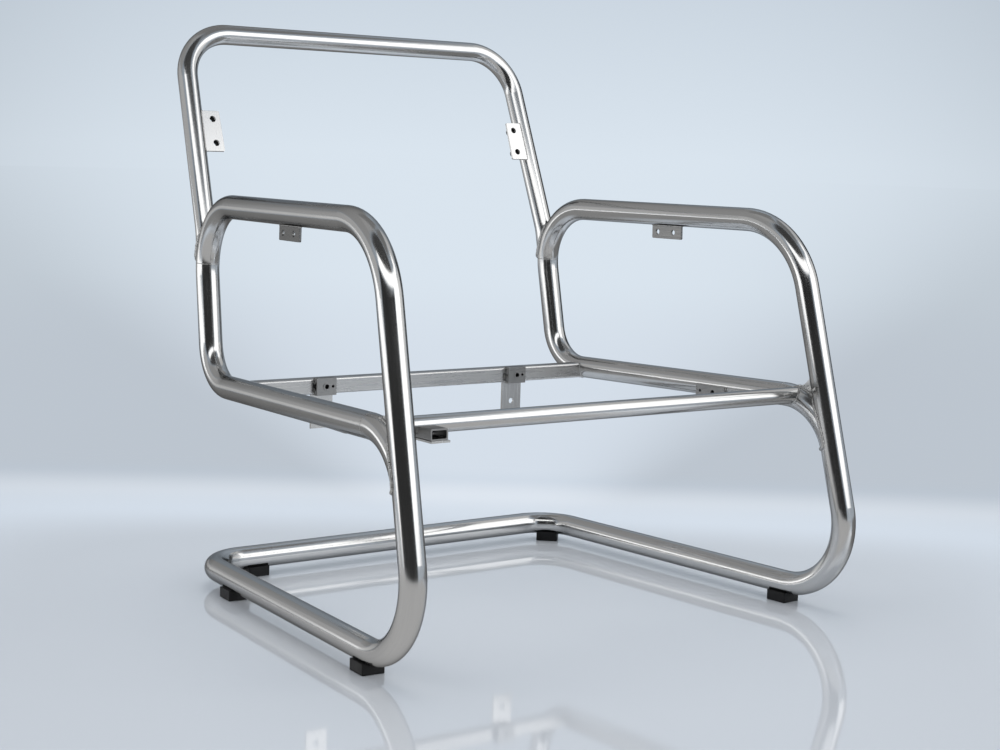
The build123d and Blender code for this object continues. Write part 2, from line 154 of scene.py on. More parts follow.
def dimmed(tree, colour, factor):
    """The colour socket times the factor socket."""
    made = node_of(tree, "ShaderNodeVectorMath", operation="SCALE")
    tree.links.new(colour, made.inputs[0])
    tree.links.new(factor, made.inputs["Scale"])
    return made.outputs["Vector"]


def ramp_of(tree, value, stops, interpolation="LINEAR"):
    """A colour that follows a value through (position, colour) stops."""
    made = node_of(tree, "ShaderNodeValToRGB")
    made.color_ramp.interpolation = interpolation
    points = made.color_ramp.elements
    while len(points) < len(stops):
        points.new(0.5)
    for point, (place, colour) in zip(points, stops):
        point.position = place
        point.color = colour
    tree.links.new(value, made.inputs["Fac"])
    return made.outputs["Color"]


def blended(tree, factor, first, second):
    """Two shaders, blended by a factor socket."""
    made = node_of(tree, "ShaderNodeMixShader")
    tree.links.new(factor, made.inputs["Fac"])
    tree.links.new(first, made.inputs[1])
    tree.links.new(second, made.inputs[2])
    return made.outputs["Shader"]


def group_node(tree, group):
    """A node group, placed in a tree."""
    made = node_of(tree, "ShaderNodeGroup")
    made.node_tree = group
    return made


def empty_material(name):
    """A new material, its tree and its output, with nothing wired."""
    material = bpy.data.materials.new(name)
    material.use_nodes = True
    tree = material.node_tree
    tree.nodes.clear()
    return material, tree, node_of(tree, "ShaderNodeOutputMaterial")


def new_material(name):
    """A new material, its tree, its Principled BSDF and the output that this feeds."""
    material, tree, output = empty_material(name)
    shader = node_of(tree, "ShaderNodeBsdfPrincipled")
    tree.links.new(shader.outputs["BSDF"], output.inputs["Surface"])
    return material, tree, shader, output


level_ahead = Vector((sin(CAMERA_YAW), cos(CAMERA_YAW), 0))


def painted_backdrop_light():
    """A node group: a painted pool of light, how bright the backdrop is painted in a direction from
    the chair.
    """
    group = bpy.data.node_groups.new("painted_backdrop_light", "ShaderNodeTree")
    group.interface.new_socket("Direction", in_out="INPUT", socket_type="NodeSocketVector")
    group.interface.new_socket("Brightness", in_out="OUTPUT", socket_type="NodeSocketFloat")
    start = node_of(group, "NodeGroupInput")
    end = node_of(group, "NodeGroupOutput")
    level = node_of(group, "ShaderNodeVectorMath", operation="MULTIPLY")
    level.inputs[1].default_value = (1, 1, 0)
    group.links.new(start.outputs["Direction"], level.inputs[0])
    unit = node_of(group, "ShaderNodeVectorMath", operation="NORMALIZE")
    group.links.new(level.outputs["Vector"], unit.inputs[0])
    facing = reach_of(group, unit.outputs["Vector"], level_ahead)
    glow = spread_of(group, facing, GLOW_EDGE, 1.0, low=BACKDROP_DIM, smooth=True)
    group.links.new(glow, end.inputs["Brightness"])
    return group


painted_light_group = painted_backdrop_light()
floor_material, tree, shader, output = new_material("glossy_floor")
place = node_of(tree, "ShaderNodeNewGeometry")
sides = []
for direction, ahead_length, back_length in (
    (level_ahead, COVE_BEHIND, COVE_BEFORE),
    (level_right, COVE_BESIDE, COVE_BESIDE),
):
    size = math_of(
        tree, "MAXIMUM",
        reach_of(tree, place.outputs["Position"], direction / ahead_length),
        reach_of(tree, place.outputs["Position"], direction / -back_length),
    )
    sides.append(math_of(tree, "POWER", size, COVE_ROUNDNESS))
reach = math_of(tree, "POWER", math_of(tree, "ADD", *sides), 1 / COVE_ROUNDNESS)
floor_colour = ramp_of(
    tree,
    spread_of(tree, reach, 0.0, COVE_LENGTHS),
    [(lengths / COVE_LENGTHS, colour) for lengths, colour in COVE_STOPS],
    "EASE",
)
tree.links.new(floor_colour, shader.inputs["Base Color"])
shader.inputs["Roughness"].default_value = FLOOR_ROUGHNESS
shader.inputs["IOR"].default_value = FLOOR_IOR
# The far floor's glow carries a painted pool of light, brighter behind the chair.
glow_here = group_node(tree, painted_light_group)
tree.links.new(place.outputs["Position"], glow_here.inputs["Direction"])
glow = node_of(tree, "ShaderNodeEmission")
tree.links.new(dimmed(tree, floor_colour, glow_here.outputs["Brightness"]), glow.inputs["Color"])
far = spread_of(tree, reach, *GLOSS_ENDS, smooth=True)
cove = blended(tree, far, shader.outputs["BSDF"], glow.outputs["Emission"])
tree.links.new(cove, output.inputs["Surface"])

floor_mesh = bpy.data.meshes.new("floor")
floor_mesh.from_pydata(
    [(-FLOOR_REACH, -FLOOR_REACH, 0), (FLOOR_REACH, -FLOOR_REACH, 0),
     (FLOOR_REACH, FLOOR_REACH, 0), (-FLOOR_REACH, FLOOR_REACH, 0)],
    [],
    [(0, 1, 2, 3)],
)
floor_mesh.materials.append(floor_material)
floor = bpy.data.objects.new("floor", floor_mesh)
scene.collection.objects.link(floor)

world = bpy.data.worlds.new("studio_air")
scene.world = world
world.use_nodes = True
tree = world.node_tree
tree.nodes.clear()
output = node_of(tree, "ShaderNodeOutputWorld")
air = node_of(tree, "ShaderNodeBackground")
direction = node_of(tree, "ShaderNodeTexCoord")
parts_of = node_of(tree, "ShaderNodeSeparateXYZ")
tree.links.new(direction.outputs["Generated"], parts_of.inputs["Vector"])
air_colour = ramp_of(
    tree, parts_of.outputs["Z"], [(0.0, BACKDROP_MIDDLE), (HIGH_STARTS, BACKDROP_HIGH)],
)
# The backdrop carries a painted pool of light, brighter behind the chair.
glow_here = group_node(tree, painted_light_group)
tree.links.new(direction.outputs["Generated"], glow_here.inputs["Direction"])
tree.links.new(dimmed(tree, air_colour, glow_here.outputs["Brightness"]), air.inputs["Color"])
tree.links.new(air.outputs["Background"], output.inputs["Surface"])


# Lamps and cards. Three softboxes light the floor and the plastic. The tubes mirror a
# ring of bent cards round the chair: white and grey ones, and black ones that draw dark
# stripes. Only mirrors see the cards, and only from the chair's side.
CARD_CENTRE = 0.4
CARD_LOWEST = 0.01
CARD_SOFT_EDGE = 0.10
CARD_STEPS = 12
FLOOR_CARD_HEIGHT = 0.002


def around(turn, distance, height):
    """A place round the chair: turn is in degrees from the camera, to its right."""
    heading = CAMERA_YAW + pi - radians(turn)
    return Vector((sin(heading) * distance, cos(heading) * distance, height))


def softbox(name, place, target, size, power):
    """A square area lamp that shines from a place on a target, unseen by mirrors."""
    data = bpy.data.lights.new(name, "AREA")
    data.shape = "RECTANGLE"
    data.size = size
    data.size_y = size
    data.energy = power
    lamp = bpy.data.objects.new(name, data)
    aim = (Vector(target) - place).to_track_quat("-Z", "Y")
    lamp.matrix_world = Matrix.Translation(place) @ aim.to_matrix().to_4x4()
    lamp.visible_glossy = False
    scene.collection.objects.link(lamp)


def card_material(name, brightness):
    """A glowing card, soft towards its edges and clear from behind."""
    material, tree, output = empty_material(name)
    glow = node_of(tree, "ShaderNodeEmission")
    glow.inputs["Color"].default_value = (brightness, brightness, brightness, 1)
    clear = node_of(tree, "ShaderNodeBsdfTransparent")
    place = node_of(tree, "ShaderNodeUVMap")
    split = node_of(tree, "ShaderNodeSeparateXYZ")
    tree.links.new(place.outputs["UV"], split.inputs["Vector"])
    card_side = node_of(tree, "ShaderNodeNewGeometry")
    shown = math_of(tree, "SUBTRACT", 1.0, card_side.outputs["Backfacing"])
    for axis in ("X", "Y"):
        off_middle = math_of(tree, "ABSOLUTE", math_of(tree, "SUBTRACT", split.outputs[axis], 0.5))
        inside = spread_of(tree, off_middle, 0.5, 0.5 - CARD_SOFT_EDGE, smooth=True)
        shown = math_of(tree, "MULTIPLY", shown, inside)
    card = blended(tree, shown, clear.outputs["BSDF"], glow.outputs["Emission"])
    tree.links.new(card, output.inputs["Surface"])
    return material


def bent_board(name, brightness, place_of):
    """A card of small faces; place_of gives its points from 0 to 1 each way."""
    steps = CARD_STEPS
    shape = bmesh.new()
    uv = shape.loops.layers.uv.new("UVMap")
    rows = [
        [shape.verts.new(place_of(i / steps, j / steps)) for i in range(steps + 1)]
        for j in range(steps + 1)
    ]
    for j in range(steps):
        for i in range(steps):
            ends = ((i, j), (i, j + 1), (i + 1, j + 1), (i + 1, j))
            face = shape.faces.new([rows[up][across] for across, up in ends])
            for loop, (across, up) in zip(face.loops, ends):
                loop[uv].uv = (across / steps, up / steps)
    mesh = bpy.data.meshes.new(name)
    shape.to_mesh(mesh)
    shape.free()
    mesh.materials.append(card_material(name, brightness))
    board = bpy.data.objects.new(name, mesh)
    board.visible_camera = False
    board.visible_diffuse = False
    board.visible_shadow = False
    scene.collection.objects.link(board)


def standing_card(name, turns, rises, distance, brightness):
    """A card bent round the chair, between two turns and two elevations in degrees."""
    def place_of(across, up):
        turn = turns[0] + (turns[1] - turns[0]) * across
        rise = radians(rises[0] + (rises[1] - rises[0]) * up)
        height = max(CARD_CENTRE + distance * sin(rise), CARD_LOWEST)
        return around(turn, distance * cos(rise), height)

    bent_board(name, brightness, place_of)


def floor_card(name, turns, near, far, brightness):
    """A card that lies on the floor beside the chair, and tones what tubes see there."""
    def place_of(across, out):
        turn = turns[0] + (turns[1] - turns[0]) * across
        return around(turn, near + (far - near) * out, FLOOR_CARD_HEIGHT)

    bent_board(name, brightness, place_of)


softbox("softbox_right", around(66, 3.2, 1.5), target=(0, 0, 0.4), size=2.4, power=38)
softbox("softbox_left", around(-62, 3.2, 1.4), target=(0, 0, 0.4), size=2.4, power=30)
softbox("softbox_over", Vector((0.3, 0.6, 3.2)), target=(0, 0, 0.3), size=2.6, power=34)

# Each card's turns, elevations or distances, and brightness.
standing_card("card_black_front", (-60, 40), (-12, 29), 2.4, 0.03)
standing_card("card_white_front_high", (-52, 60), (28, 43), 2.2, 1.9)
standing_card("card_white_front_right", (56, 92), (29, 43), 4.0, 1.9)
standing_card("card_black_ceiling", (-70, 58), (40, 89), 3.6, 0.06)
standing_card("card_grey_ceiling_left", (-132, -68), (46, 89), 3.7, 0.42)
standing_card("card_grey_ceiling_right", (56, 150), (56, 89), 3.7, 0.22)
standing_card("card_white_right", (40, 92), (4, 31), 4.0, 1.9)
standing_card("card_grey_right", (84, 124), (6, 30), 4.2, 0.9)
standing_card("card_white_right_high", (88, 108), (32, 50), 4.0, 1.7)
standing_card("card_grey_right_high", (100, 150), (32, 56), 4.1, 0.7)
standing_card("card_black_right_back", (124, 149), (-6, 30), 3.4, 0.05)
standing_card("card_white_left", (-114, -48), (-5, 5), 4.1, 1.9)
standing_card("card_light_left_back", (-150, -108), (-5, 6), 4.15, 0.8)
standing_card("card_grey_left", (-128, -60), (5, 27), 4.3, 0.55)
standing_card("card_grey_left_back", (-149, -122), (5, 27), 3.4, 0.40)
standing_card("card_grey_back_high", (-185, -62), (26, 60), 3.3, 0.36)
standing_card("card_black_back_top", (150, 240), (56, 89), 3.2, 0.25)
floor_card("card_floor_left", (-185, -84), 0.40, 3.6, 0.33)
floor_card("card_floor_front", (-84, 74), 0.25, 2.8, 0.56)
floor_card("card_floor_right", (74, 150), 0.45, 3.6, 0.24)


# Side tubes. Stainless tube 32 mm thick, bent on a former and ground along its length
# with a belt, so that fine lines follow it round every bend.
TUBE_RADIUS = 0.016
SIDE_SPLAY = radians(4.1)
SIDE_LEAN = radians(1.05)
SIDE_FACING = Vector((1, tan(SIDE_SPLAY), tan(SIDE_LEAN))).normalized()
MIRRORED = Vector((-1, 1, 1))
STEEL = (0.62, 0.619, 0.614, 1)
EDGE_DARKENING = (0.30, 0.30, 0.30, 1)
TUBE_LINES = 420.0
SATIN_ROUGHNESS = 0.155
SATIN_DEPTH = 0.000009
LINE_STRETCH = 14.0
LINE_DETAIL = 5.0
LINE_SHARPNESS = 0.62
LINE_SHADES = (0.965, 1.015)
LINE_ROUGHNESS = 0.25
PATCHES_PER_METRE = 9.0
PATCH_DETAIL = 3.0
PATCH_ROUGHNESS = 0.02
NOISE_SPAN = (0.3, 0.7)
BEVEL_SAMPLES = 4


def noise_of(tree, position, scale, detail):
    """A cloudy noise with about as many spots per metre as its scale."""
    made = node_of(tree, "ShaderNodeTexNoise")
    made.inputs["Scale"].default_value = scale
    made.inputs["Detail"].default_value = detail
    tree.links.new(position, made.inputs["Vector"])
    return made.outputs["Fac"]


def ground_lines():
    """A node group: fine lines ground along the steel, and patches where it is duller."""
    group = bpy.data.node_groups.new("ground_lines", "ShaderNodeTree")
    for label in ("Across", "Lines per metre"):
        group.interface.new_socket(label, in_out="INPUT", socket_type="NodeSocketFloat")
    for label in ("Lines", "Patches"):
        group.interface.new_socket(label, in_out="OUTPUT", socket_type="NodeSocketFloat")
    start = node_of(group, "NodeGroupInput")
    end = node_of(group, "NodeGroupOutput")
    place = node_of(group, "ShaderNodeNewGeometry")
    along = node_of(group, "ShaderNodeVectorMath", operation="SCALE")
    along.inputs["Scale"].default_value = LINE_STRETCH
    group.links.new(place.outputs["Position"], along.inputs[0])
    across = math_of(group, "MULTIPLY", start.outputs["Across"], start.outputs["Lines per metre"])
    lines = node_of(group, "ShaderNodeTexNoise", noise_dimensions="4D")
    lines.inputs["Scale"].default_value = 1.0
    lines.inputs["Detail"].default_value = LINE_DETAIL
    lines.inputs["Roughness"].default_value = LINE_SHARPNESS
    group.links.new(along.outputs["Vector"], lines.inputs["Vector"])
    group.links.new(across, lines.inputs["W"])
    group.links.new(lines.outputs["Fac"], end.inputs["Lines"])
    patches = noise_of(group, place.outputs["Position"], PATCHES_PER_METRE, PATCH_DETAIL)
    group.links.new(patches, end.inputs["Patches"])
    return group


def textured(tree, shader, height, depth, strength=1.0, edge=0.0):
    """Presses a height into a shader's normal; edge is the radius of rounded edges."""
    bump = node_of(tree, "ShaderNodeBump")
    bump.inputs["Strength"].default_value = strength
    bump.inputs["Distance"].default_value = depth
    tree.links.new(height, bump.inputs["Height"])
    if edge:
        rounded = node_of(tree, "ShaderNodeBevel", samples=BEVEL_SAMPLES)
        rounded.inputs["Radius"].default_value = edge
        tree.links.new(rounded.outputs["Normal"], bump.inputs["Normal"])
    tree.links.new(bump.outputs["Normal"], shader.inputs["Normal"])


def ground_steel(name, colour, across_of, lines_per_metre, roughness, depth, edge=0.0):
    """Ground steel; across_of wires the distance across the lines from the geometry."""
    material, tree, shader, _ = new_material(name)
    place = node_of(tree, "ShaderNodeNewGeometry")
    lines = group_node(tree, lines_group)
    tree.links.new(across_of(tree, place), lines.inputs["Across"])
    lines.inputs["Lines per metre"].default_value = lines_per_metre
    shader.inputs["Metallic"].default_value = 1.0
    shader.inputs["Specular Tint"].default_value = EDGE_DARKENING
    shades = [tuple(part * shade for part in colour[:3]) + (1,) for shade in LINE_SHADES]
    tint = ramp_of(tree, lines.outputs["Lines"], list(zip(NOISE_SPAN, shades)))
    tree.links.new(tint, shader.inputs["Base Color"])
    streaky = spread_of(
        tree, lines.outputs["Lines"], *NOISE_SPAN,
        roughness * (1 - LINE_ROUGHNESS), roughness * (1 + LINE_ROUGHNESS),
    )
    patchy = spread_of(
        tree, lines.outputs["Patches"], *NOISE_SPAN, -PATCH_ROUGHNESS, PATCH_ROUGHNESS,
    )
    tree.links.new(math_of(tree, "ADD", streaky, patchy), shader.inputs["Roughness"])
    textured(tree, shader, lines.outputs["Lines"], depth, edge=edge)
    return material


def satin_tube(name, bend_axis, radius):
    """The finish of a round tube, whose bends all turn about one axis."""
    def across_of(tree, place):
        turn = math_of(tree, "ARCCOSINE", reach_of(tree, place.outputs["Normal"], bend_axis))
        return math_of(tree, "MULTIPLY", turn, radius)

    return ground_steel(name, STEEL, across_of, TUBE_LINES, SATIN_ROUGHNESS, SATIN_DEPTH)


def dress(material, *names):
    """Gives CAD pieces their finish."""
    for name in names:
        nodes[name].data.materials.clear()
        nodes[name].data.materials.append(material)


lines_group = ground_lines()
for side, facing in (("right", SIDE_FACING), ("left", SIDE_FACING * MIRRORED)):
    dress(
        satin_tube(f"{side}_satin_tube", facing, TUBE_RADIUS),
        f"{side}_side_tube", f"{side}_rail_tube",
    )


# Base tube and back hoop. The same satin tube; the base is bent in the level plane, and
# the 28 mm hoop in a plane that leans back. The hoop's ends are welded to the arm bends.
LEVEL = Vector((0, 0, 1))
HOOP_LEAN = radians(20.4)
HOOP_FACING = Vector((0, -cos(HOOP_LEAN), sin(HOOP_LEAN)))
HOOP_RADIUS = 0.014

dress(satin_tube("base_satin_tube", LEVEL, TUBE_RADIUS), "base_tube")
dress(satin_tube("hoop_satin_tube", HOOP_FACING, HOOP_RADIUS), "back_hoop")


# Seat bars. A round tube in front and a small rectangular tube behind, both cut to fit
# between the rails and welded all round.
FRONT_BAR_RADIUS = 0.011
SLANTING_BACK = (0, 0.7, 0.7)
BAR_LINES = 500.0
BAR_ROUGHNESS = 0.30
BAR_DEPTH = 0.0000008
BAR_EDGE = 0.0006


def straight_lines(across):
    """For ground_steel: the distance across a flat piece, along a fixed direction."""
    return lambda tree, place: reach_of(tree, place.outputs["Position"], across)


dress(satin_tube("front_bar_satin", LEVEL, FRONT_BAR_RADIUS), "front_bar")
dress(
    ground_steel(
        "rear_bar_satin", STEEL, straight_lines(SLANTING_BACK),
        BAR_LINES, BAR_ROUGHNESS, BAR_DEPTH, BAR_EDGE,
    ),
    "rear_bar",
)


# Plates. Sheet steel, cut by laser and welded on. The back tabs, drop plates, gussets and
# the socket's plate are ground bright. The brackets, rail plates and socket are duller,
# and the arm tabs dullest.
BRIGHT_PLATE = (0.68, 0.678, 0.672, 1)
DULL_PLATE = (0.35, 0.349, 0.346, 1)
DARK_PLATE = (0.21, 0.209, 0.207, 1)
SIDEWAYS = (1, 0, 0)
PLATE_LINES = 900.0


def plate_finish(name, colour, across, roughness, depth, edge=0.0):
    """Ground sheet, or weld metal, with lines at right angles to a fixed direction."""
    return ground_steel(
        name, colour, straight_lines(across), PLATE_LINES, roughness, depth, edge,
    )


dress(
    plate_finish(
        "bright_plate", BRIGHT_PLATE, SIDEWAYS, roughness=0.24, depth=0.000001, edge=0.0005,
    ),
    "left_back_tab", "right_back_tab", "left_drop_plate", "right_drop_plate", "socket_plate",
)
dress(
    plate_finish(
        "gusset_plate", BRIGHT_PLATE, SLANTING_BACK, roughness=0.26, depth=0.00001, edge=0.0006,
    ),
    "left_gusset", "right_gusset",
)
dress(
    plate_finish("dull_plate", DULL_PLATE, LEVEL, roughness=0.34, depth=0.00002, edge=0.0005),
    "left_rear_bracket", "right_rear_bracket", "left_rail_plate", "right_rail_plate",
    "socket_tube",
)
dress(
    plate_finish("dark_plate", DARK_PLATE, LEVEL, roughness=0.30, depth=0.00001, edge=0.0007),
    "left_arm_tab", "right_arm_tab",
)


# Threaded bushes. The holes of the back tabs, brackets and rail plates have a steel bush
# pressed in from behind, whose thread shows through the hole, coloured near black as painted shade.
BUSH_STEPS = 40
BUSH_WALL = 0.0018
BUSH_GAP = 0.0002
BUSH_CHAMFER = 0.0004
BOTTOM_EYE = 0.0002
THREAD_PITCH = 0.001
THREAD_DEPTH = 0.0004
HOLE_EDGE = 1.05
# Near black: painted shade inside the hole, not the steel's own colour.
THREAD_PAINTED_SHADE = (0.06, 0.06, 0.06, 1)
THREAD_ACROSS = (0, 0.9, 0.4)
# For each kind of hole: its plate, that plate's thickness, and the bush's length and floor.
BUSHES = {
    "back_tab": ("back_tab", 0.003, 0.009, 0.0),
    "bracket": ("rear_bracket", 0.0025, 0.0050, 0.0008),
    "rail_plate": ("rail_plate", 0.003, 0.0030, 0.0006),
}


def new_piece(name, shape, material):
    """A piece of the chair from a bmesh: smooth, on its body, and with its finish."""
    bmesh.ops.recalc_face_normals(shape, faces=shape.faces)
    mesh = bpy.data.meshes.new(name)
    shape.to_mesh(mesh)
    shape.free()
    mesh.materials.append(material)
    for face in mesh.polygons:
        face.use_smooth = True
    piece = bpy.data.objects.new(name, mesh)
    scene.collection.objects.link(piece)
    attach(piece, "root")


def joined(shape, near, far):
    """Adds the faces between two closed rows of points, with as many points in each."""
    for i in range(len(near)):
        j = (i + 1) % len(near)
        shape.faces.new((near[i], far[i], far[j], near[j]))


def turned(shape, centre, axis, profile):
    """Adds a turned shape: a closed profile of (radius, distance along the axis)."""
    first = axis.orthogonal().normalized()
    second = axis.cross(first)
    rings = []
    for step in range(BUSH_STEPS):
        angle = 2 * pi * step / BUSH_STEPS
        out = first * cos(angle) + second * sin(angle)
        rings.append([
            shape.verts.new(centre + out * radius + axis * along) for radius, along in profile
        ])
    for ring, following in zip(rings, rings[1:] + rings[:1]):
        joined(shape, ring, following)


def bush_profile(hole_radius, length, bottom):
    """The section of a bush that starts just behind the plate; bottom closes its far end."""
    crest = hole_radius - THREAD_DEPTH
    section = [(crest, -BUSH_GAP)]
    while section[-1][1] > THREAD_PITCH - length + bottom:
        down = section[-1][1] - THREAD_PITCH / 2
        section.append((hole_radius, down))
        section.append((crest, down - THREAD_PITCH / 2))
    if bottom:
        section.append((crest, bottom - length))
        section.append((BOTTOM_EYE, bottom - length))
        section.append((BOTTOM_EYE, -length))
    else:
        section.append((hole_radius, -length))
    outside = hole_radius + BUSH_WALL
    section.append((outside - BUSH_CHAMFER, -length))
    section.append((outside, BUSH_CHAMFER - length))
    section.append((outside, -BUSH_GAP))
    return section


# The thread's steel is painted near black, as painted shade in the hollow of the hole.
shaded_thread_steel = plate_finish(
    "thread_painted_shade", THREAD_PAINTED_SHADE, THREAD_ACROSS, roughness=0.45, depth=0.00001,
)
for mount in frame["record"]["mounts"]:
    side, _, hole_name = mount["name"].partition("_")
    kind = next((kind for kind in BUSHES if hole_name.startswith(kind)), None)
    if not kind:
        continue
    carrier, thickness, length, bottom = BUSHES[kind]
    axis = Vector(mount["axis"]).normalized()
    hole = Vector(mount["pos_m"])
    radius = mount["dims"]["r_mm"] / 1000
    face = max(
        vertex.co.dot(axis) for vertex in nodes[f"{side}_{carrier}"].data.vertices
        if (vertex.co - hole).cross(axis).length < radius * HOLE_EDGE
    )
    shape = bmesh.new()
    start = hole + axis * (face - thickness - hole.dot(axis))
    turned(shape, start, axis, bush_profile(radius, length, bottom))
    new_piece(mount["name"].replace("_hole", "_bush"), shape, shaded_thread_steel)


# Bracket ends. The open ends of the folded brackets are filled with weld metal: nearly
# closed on the right one, and only along the bar on the left one.
BAR_FACE = 0.150
BRACKET_INSIDE = 0.1445
BRACKET_MIDDLE = 0.2755
BRACKET_HALF = 0.0095
FILL_THICKNESS = 0.0012
FILL_INSET = 0.0003
FILL_CLEAR = 0.0001
FILL_ACROSS = (0.5, 0.5, 0.7)

fill_steel = plate_finish(
    "bracket_fill", DULL_PLATE, FILL_ACROSS, roughness=0.36, depth=0.00004,
)
# The shares of the half height that are filled, at the bracket's front and at the bar.
for side, front_share, bar_share in (("left", 0.10, 0.85), ("right", 0.85, 0.98)):
    low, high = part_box(f"{side}_rear_bracket")
    shape = bmesh.new()
    for end in (low[0] + FILL_INSET, high[0] - FILL_INSET - FILL_THICKNESS):
        for upward in (-BRACKET_HALF, BRACKET_HALF):
            top = BRACKET_MIDDLE + upward
            outline = (
                (BAR_FACE - FILL_CLEAR, top),
                (BRACKET_INSIDE + FILL_CLEAR, top),
                (BRACKET_INSIDE + FILL_CLEAR, top - upward * front_share),
                (BAR_FACE - FILL_CLEAR, top - upward * bar_share),
            )
            near, off = (
                [shape.verts.new((x, y, z)) for y, z in outline]
                for x in (end, end + FILL_THICKNESS)
            )
            shape.faces.new(near)
            shape.faces.new(off[::-1])
            joined(shape, near, off)
    new_piece(f"{side}_bracket_fill", shape, fill_steel)


# Feet. Moulded black plastic blocks, each with a saddle that the base tube sits in, held
# by a plug in the tube's wall.
FOOT_SHADES = ((0.35, (0.004, 0.004, 0.0043, 1)), (0.75, (0.009, 0.009, 0.0095, 1)))
FOOT_ROUGHNESS = (0.45, 0.60)
FOOT_SHINE = 0.3
FOOT_EDGE = 0.0006
SCUFFS_PER_METRE = 60.0
SCUFF_DETAIL = 4.0
PEBBLES_PER_METRE = 900.0
PEBBLE_DETAIL = 2.0
PEBBLE_DEPTH = 0.0001
PEBBLE_STRENGTH = 0.5

plastic, tree, shader, _ = new_material("foot_plastic")
shader.inputs["Specular IOR Level"].default_value = FOOT_SHINE
place = node_of(tree, "ShaderNodeNewGeometry")
scuffs = noise_of(tree, place.outputs["Position"], SCUFFS_PER_METRE, SCUFF_DETAIL)
tree.links.new(ramp_of(tree, scuffs, FOOT_SHADES), shader.inputs["Base Color"])
tree.links.new(
    spread_of(tree, scuffs, *NOISE_SPAN, *FOOT_ROUGHNESS), shader.inputs["Roughness"],
)
pebbles = noise_of(tree, place.outputs["Position"], PEBBLES_PER_METRE, PEBBLE_DETAIL)
textured(tree, shader, pebbles, PEBBLE_DEPTH, PEBBLE_STRENGTH, FOOT_EDGE)
dress(plastic, *(name for name in nodes if name.endswith("foot")))


# Welds. Every joint is welded with small overlapping beads. The line of a weld is the
# outline of the faces where a piece rests on its neighbour.
CONTACT_REACH = 0.0006
FACE_TO_FACE = -0.8
SAME_POINT = 0.000001
INNER_LOOP_NEAR = 0.001
CORNER_CUTS = 2
CORNER_SHARE = 0.25
FEWEST_POINTS = 12
FEWEST_RIPPLES = 3
BEAD_STEP = 0.0005
BEAD_SIDES = 8
RIPPLE = 0.0022
RIPPLE_SWELL = 0.16
UNEVEN = 0.10
UNEVEN_WAVES = (0.37, 0.11)
WELD_SHADE = (0.56, 0.555, 0.545, 1)
WELD_ACROSS = (0.6, 0.5, 0.6)
SEAM_ABOVE = 0.40


def loop_length(loop):
    """The length of a closed line of points."""
    return sum((a - b).length for a, b in zip(loop, loop[1:] + loop[:1]))


def lies_within(loop, longer):
    """True for the inner outline of a tube's wall, which lies inside the outer one."""
    return all(
        min(point[axis] for point in longer) - INNER_LOOP_NEAR < min(point[axis] for point in loop)
        and max(point[axis] for point in loop) < max(point[axis] for point in longer) + INNER_LOOP_NEAR
        for axis in range(3)
    )


def contact_lines(piece, neighbour):
    """The closed outer outlines of the faces of a piece that lie on its neighbour."""
    beside = bmesh.new()
    beside.from_mesh(nodes[neighbour].data)
    surface = BVHTree.FromBMesh(beside)
    beside.free()
    shape = bmesh.new()
    shape.from_mesh(nodes[piece].data)
    bmesh.ops.remove_doubles(shape, verts=shape.verts, dist=SAME_POINT)
    shape.normal_update()
    touching = set()
    for face in shape.faces:
        place, facing, _, _ = surface.find_nearest(face.calc_center_median(), CONTACT_REACH)
        if place is not None and facing.dot(face.normal) < FACE_TO_FACE:
            touching.add(face)
    follow = {}
    for edge in shape.edges:
        if sum(face in touching for face in edge.link_faces) == 1:
            first, second = edge.verts
            follow.setdefault(first, []).append(second)
            follow.setdefault(second, []).append(first)
    loops = []
    while follow:
        here = next(iter(follow))
        loop = [here]
        while follow.get(here):
            after = follow[here].pop()
            follow[after].remove(here)
            loop.append(after)
            here = after
        follow = {vertex: ends for vertex, ends in follow.items() if ends}
        if len(loop) > 3:
            loops.append([vertex.co.copy() for vertex in loop[:-1]])
    shape.free()
    loops.sort(key=loop_length, reverse=True)
    kept = []
    for loop in loops:
        if not any(lies_within(loop, longer) for longer in kept):
            kept.append(loop)
    return kept


def even_steps(loop, step):
    """The same closed line, with rounded corners and evenly spaced points."""
    for _ in range(CORNER_CUTS):
        cut = []
        for a, b in zip(loop, loop[1:] + loop[:1]):
            cut.append(a.lerp(b, CORNER_SHARE))
            cut.append(a.lerp(b, 1 - CORNER_SHARE))
        loop = cut
    count = max(FEWEST_POINTS, round(loop_length(loop) / step))
    spacing = loop_length(loop) / count
    points = []
    passed = 0.0
    for a, b in zip(loop, loop[1:] + loop[:1]):
        length = (b - a).length
        while len(points) < count and len(points) * spacing <= passed + length:
            points.append(a.lerp(b, (len(points) * spacing - passed) / length))
        passed += length
    return points


def lay_bead(shape, loop, width, height):
    """Adds a bead round a closed line: flat rings that swell at every ripple."""
    points = even_steps(loop, BEAD_STEP)
    middle = sum(points, Vector()) / len(points)
    ripples = max(FEWEST_RIPPLES, round(loop_length(points) / RIPPLE))
    rings = []
    for i, point in enumerate(points):
        ahead = (points[(i + 1) % len(points)] - points[i - 1]).normalized()
        out = point - middle
        out = (out - ahead * out.dot(ahead)).normalized()
        across = ahead.cross(out)
        phase = ripples * i / len(points) % 1.0
        swell = 1 - RIPPLE_SWELL + RIPPLE_SWELL * sqrt(1 - (2 * phase - 1) ** 2)
        swell *= 1 + UNEVEN * sin(UNEVEN_WAVES[0] * i) * sin(UNEVEN_WAVES[1] * i + 1)
        ring = []
        for step in range(BEAD_SIDES):
            angle = 2 * pi * step / BEAD_SIDES
            offset = out * cos(angle) * height + across * sin(angle) * width
            ring.append(shape.verts.new(point + offset * swell))
        rings.append(ring)
    for ring, following in zip(rings, rings[1:] + rings[:1]):
        joined(shape, ring, following)


weld_metal = plate_finish(
    "weld_metal", WELD_SHADE, WELD_ACROSS, roughness=0.30, depth=0.00008,
)
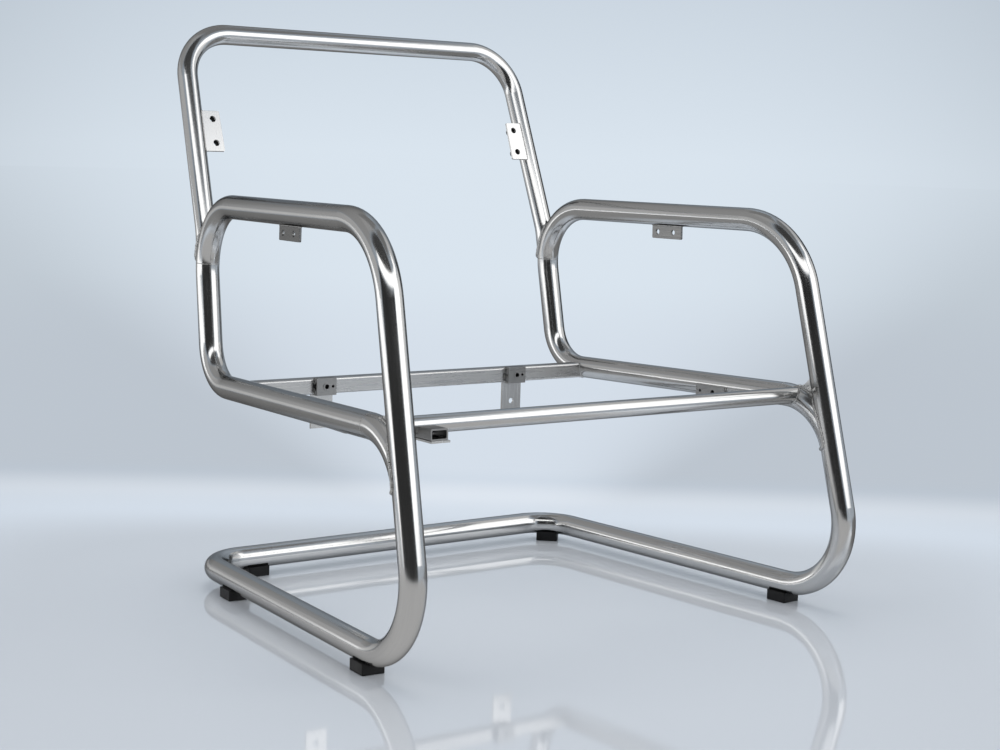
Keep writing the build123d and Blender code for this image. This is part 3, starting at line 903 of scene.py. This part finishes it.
# Each weld's name, piece and neighbour, its bead's width and height, and its slot.
for side in ("left", "right"):
    for name, piece, neighbour, width, height, slot in (
        ("hoop_end", "back_hoop", f"{side}_side_tube", 0.0034, 0.0030, "tube_steel"),
        ("rail_end", f"{side}_rail_tube", f"{side}_side_tube", 0.0024, 0.0024, "tube_steel"),
        ("gusset_leg", f"{side}_gusset", f"{side}_side_tube", 0.0021, 0.0021, "plate_steel"),
        ("gusset_rail", f"{side}_gusset", f"{side}_rail_tube", 0.0021, 0.0021, "plate_steel"),
        ("rear_bar_end", "rear_bar", f"{side}_rail_tube", 0.0014, 0.0014, "bar_steel"),
        ("front_bar_end", "front_bar", f"{side}_rail_tube", 0.0015, 0.0015, "tube_steel"),
        ("back_tab", f"{side}_back_tab", "back_hoop", 0.0010, 0.0010, "plate_steel"),
        ("arm_tab", f"{side}_arm_tab", f"{side}_side_tube", 0.0010, 0.0010, "plate_steel"),
        ("drop_plate", f"{side}_drop_plate", "rear_bar", 0.0015, 0.0013, "plate_steel"),
        ("bracket", f"{side}_rear_bracket", "rear_bar", 0.0007, 0.0007, "plate_steel"),
        ("rail_plate", f"{side}_rail_plate", f"{side}_rail_tube", 0.0010, 0.0010, "plate_steel"),
    ):
        shape = bmesh.new()
        for loop in contact_lines(piece, neighbour):
            # The rail's upper end is a butt weld, which the next section makes.
            if name != "rail_end" or loop[0].z <= SEAM_ABOVE:
                lay_bead(shape, loop, width, height)
        new_piece(f"{side}_{name}_weld", shape, weld_metal)


# Butt seams. Where one bent tube ends and the next begins, the weld is ground flush and
# shows as a fine line: in each rear arm bend, and where each rail starts to bend down.
SIDE_PLACE = Vector((0.302, 0.232, 0.026))
# For each seam: its place back and up from there, and its tube's tilt back in degrees.
SEAMS = ((0.01376, 0.4146, 1.8), (-0.4770, 0.2603, 89.0))
SEAM_POINTS = 60
SEAM_WIDTH = 0.0006
SEAM_HEIGHT = 0.00012

back = Vector((-tan(SIDE_SPLAY), 1, 0)).normalized()
up = SIDE_FACING.cross(back)
for side, mirror in (("right", Vector((1, 1, 1))), ("left", MIRRORED)):
    shape = bmesh.new()
    for place_back, place_up, tilt in SEAMS:
        centre = SIDE_PLACE + back * place_back + up * place_up
        along = up * cos(radians(tilt)) - back * sin(radians(tilt))
        second = along.cross(SIDE_FACING)
        ring = [
            (centre + (SIDE_FACING * cos(turn) + second * sin(turn)) * TUBE_RADIUS) * mirror
            for turn in (2 * pi * step / SEAM_POINTS for step in range(SEAM_POINTS))
        ]
        lay_bead(shape, ring, SEAM_WIDTH, SEAM_HEIGHT)
    new_piece(f"{side}_butt_seams", shape, weld_metal)
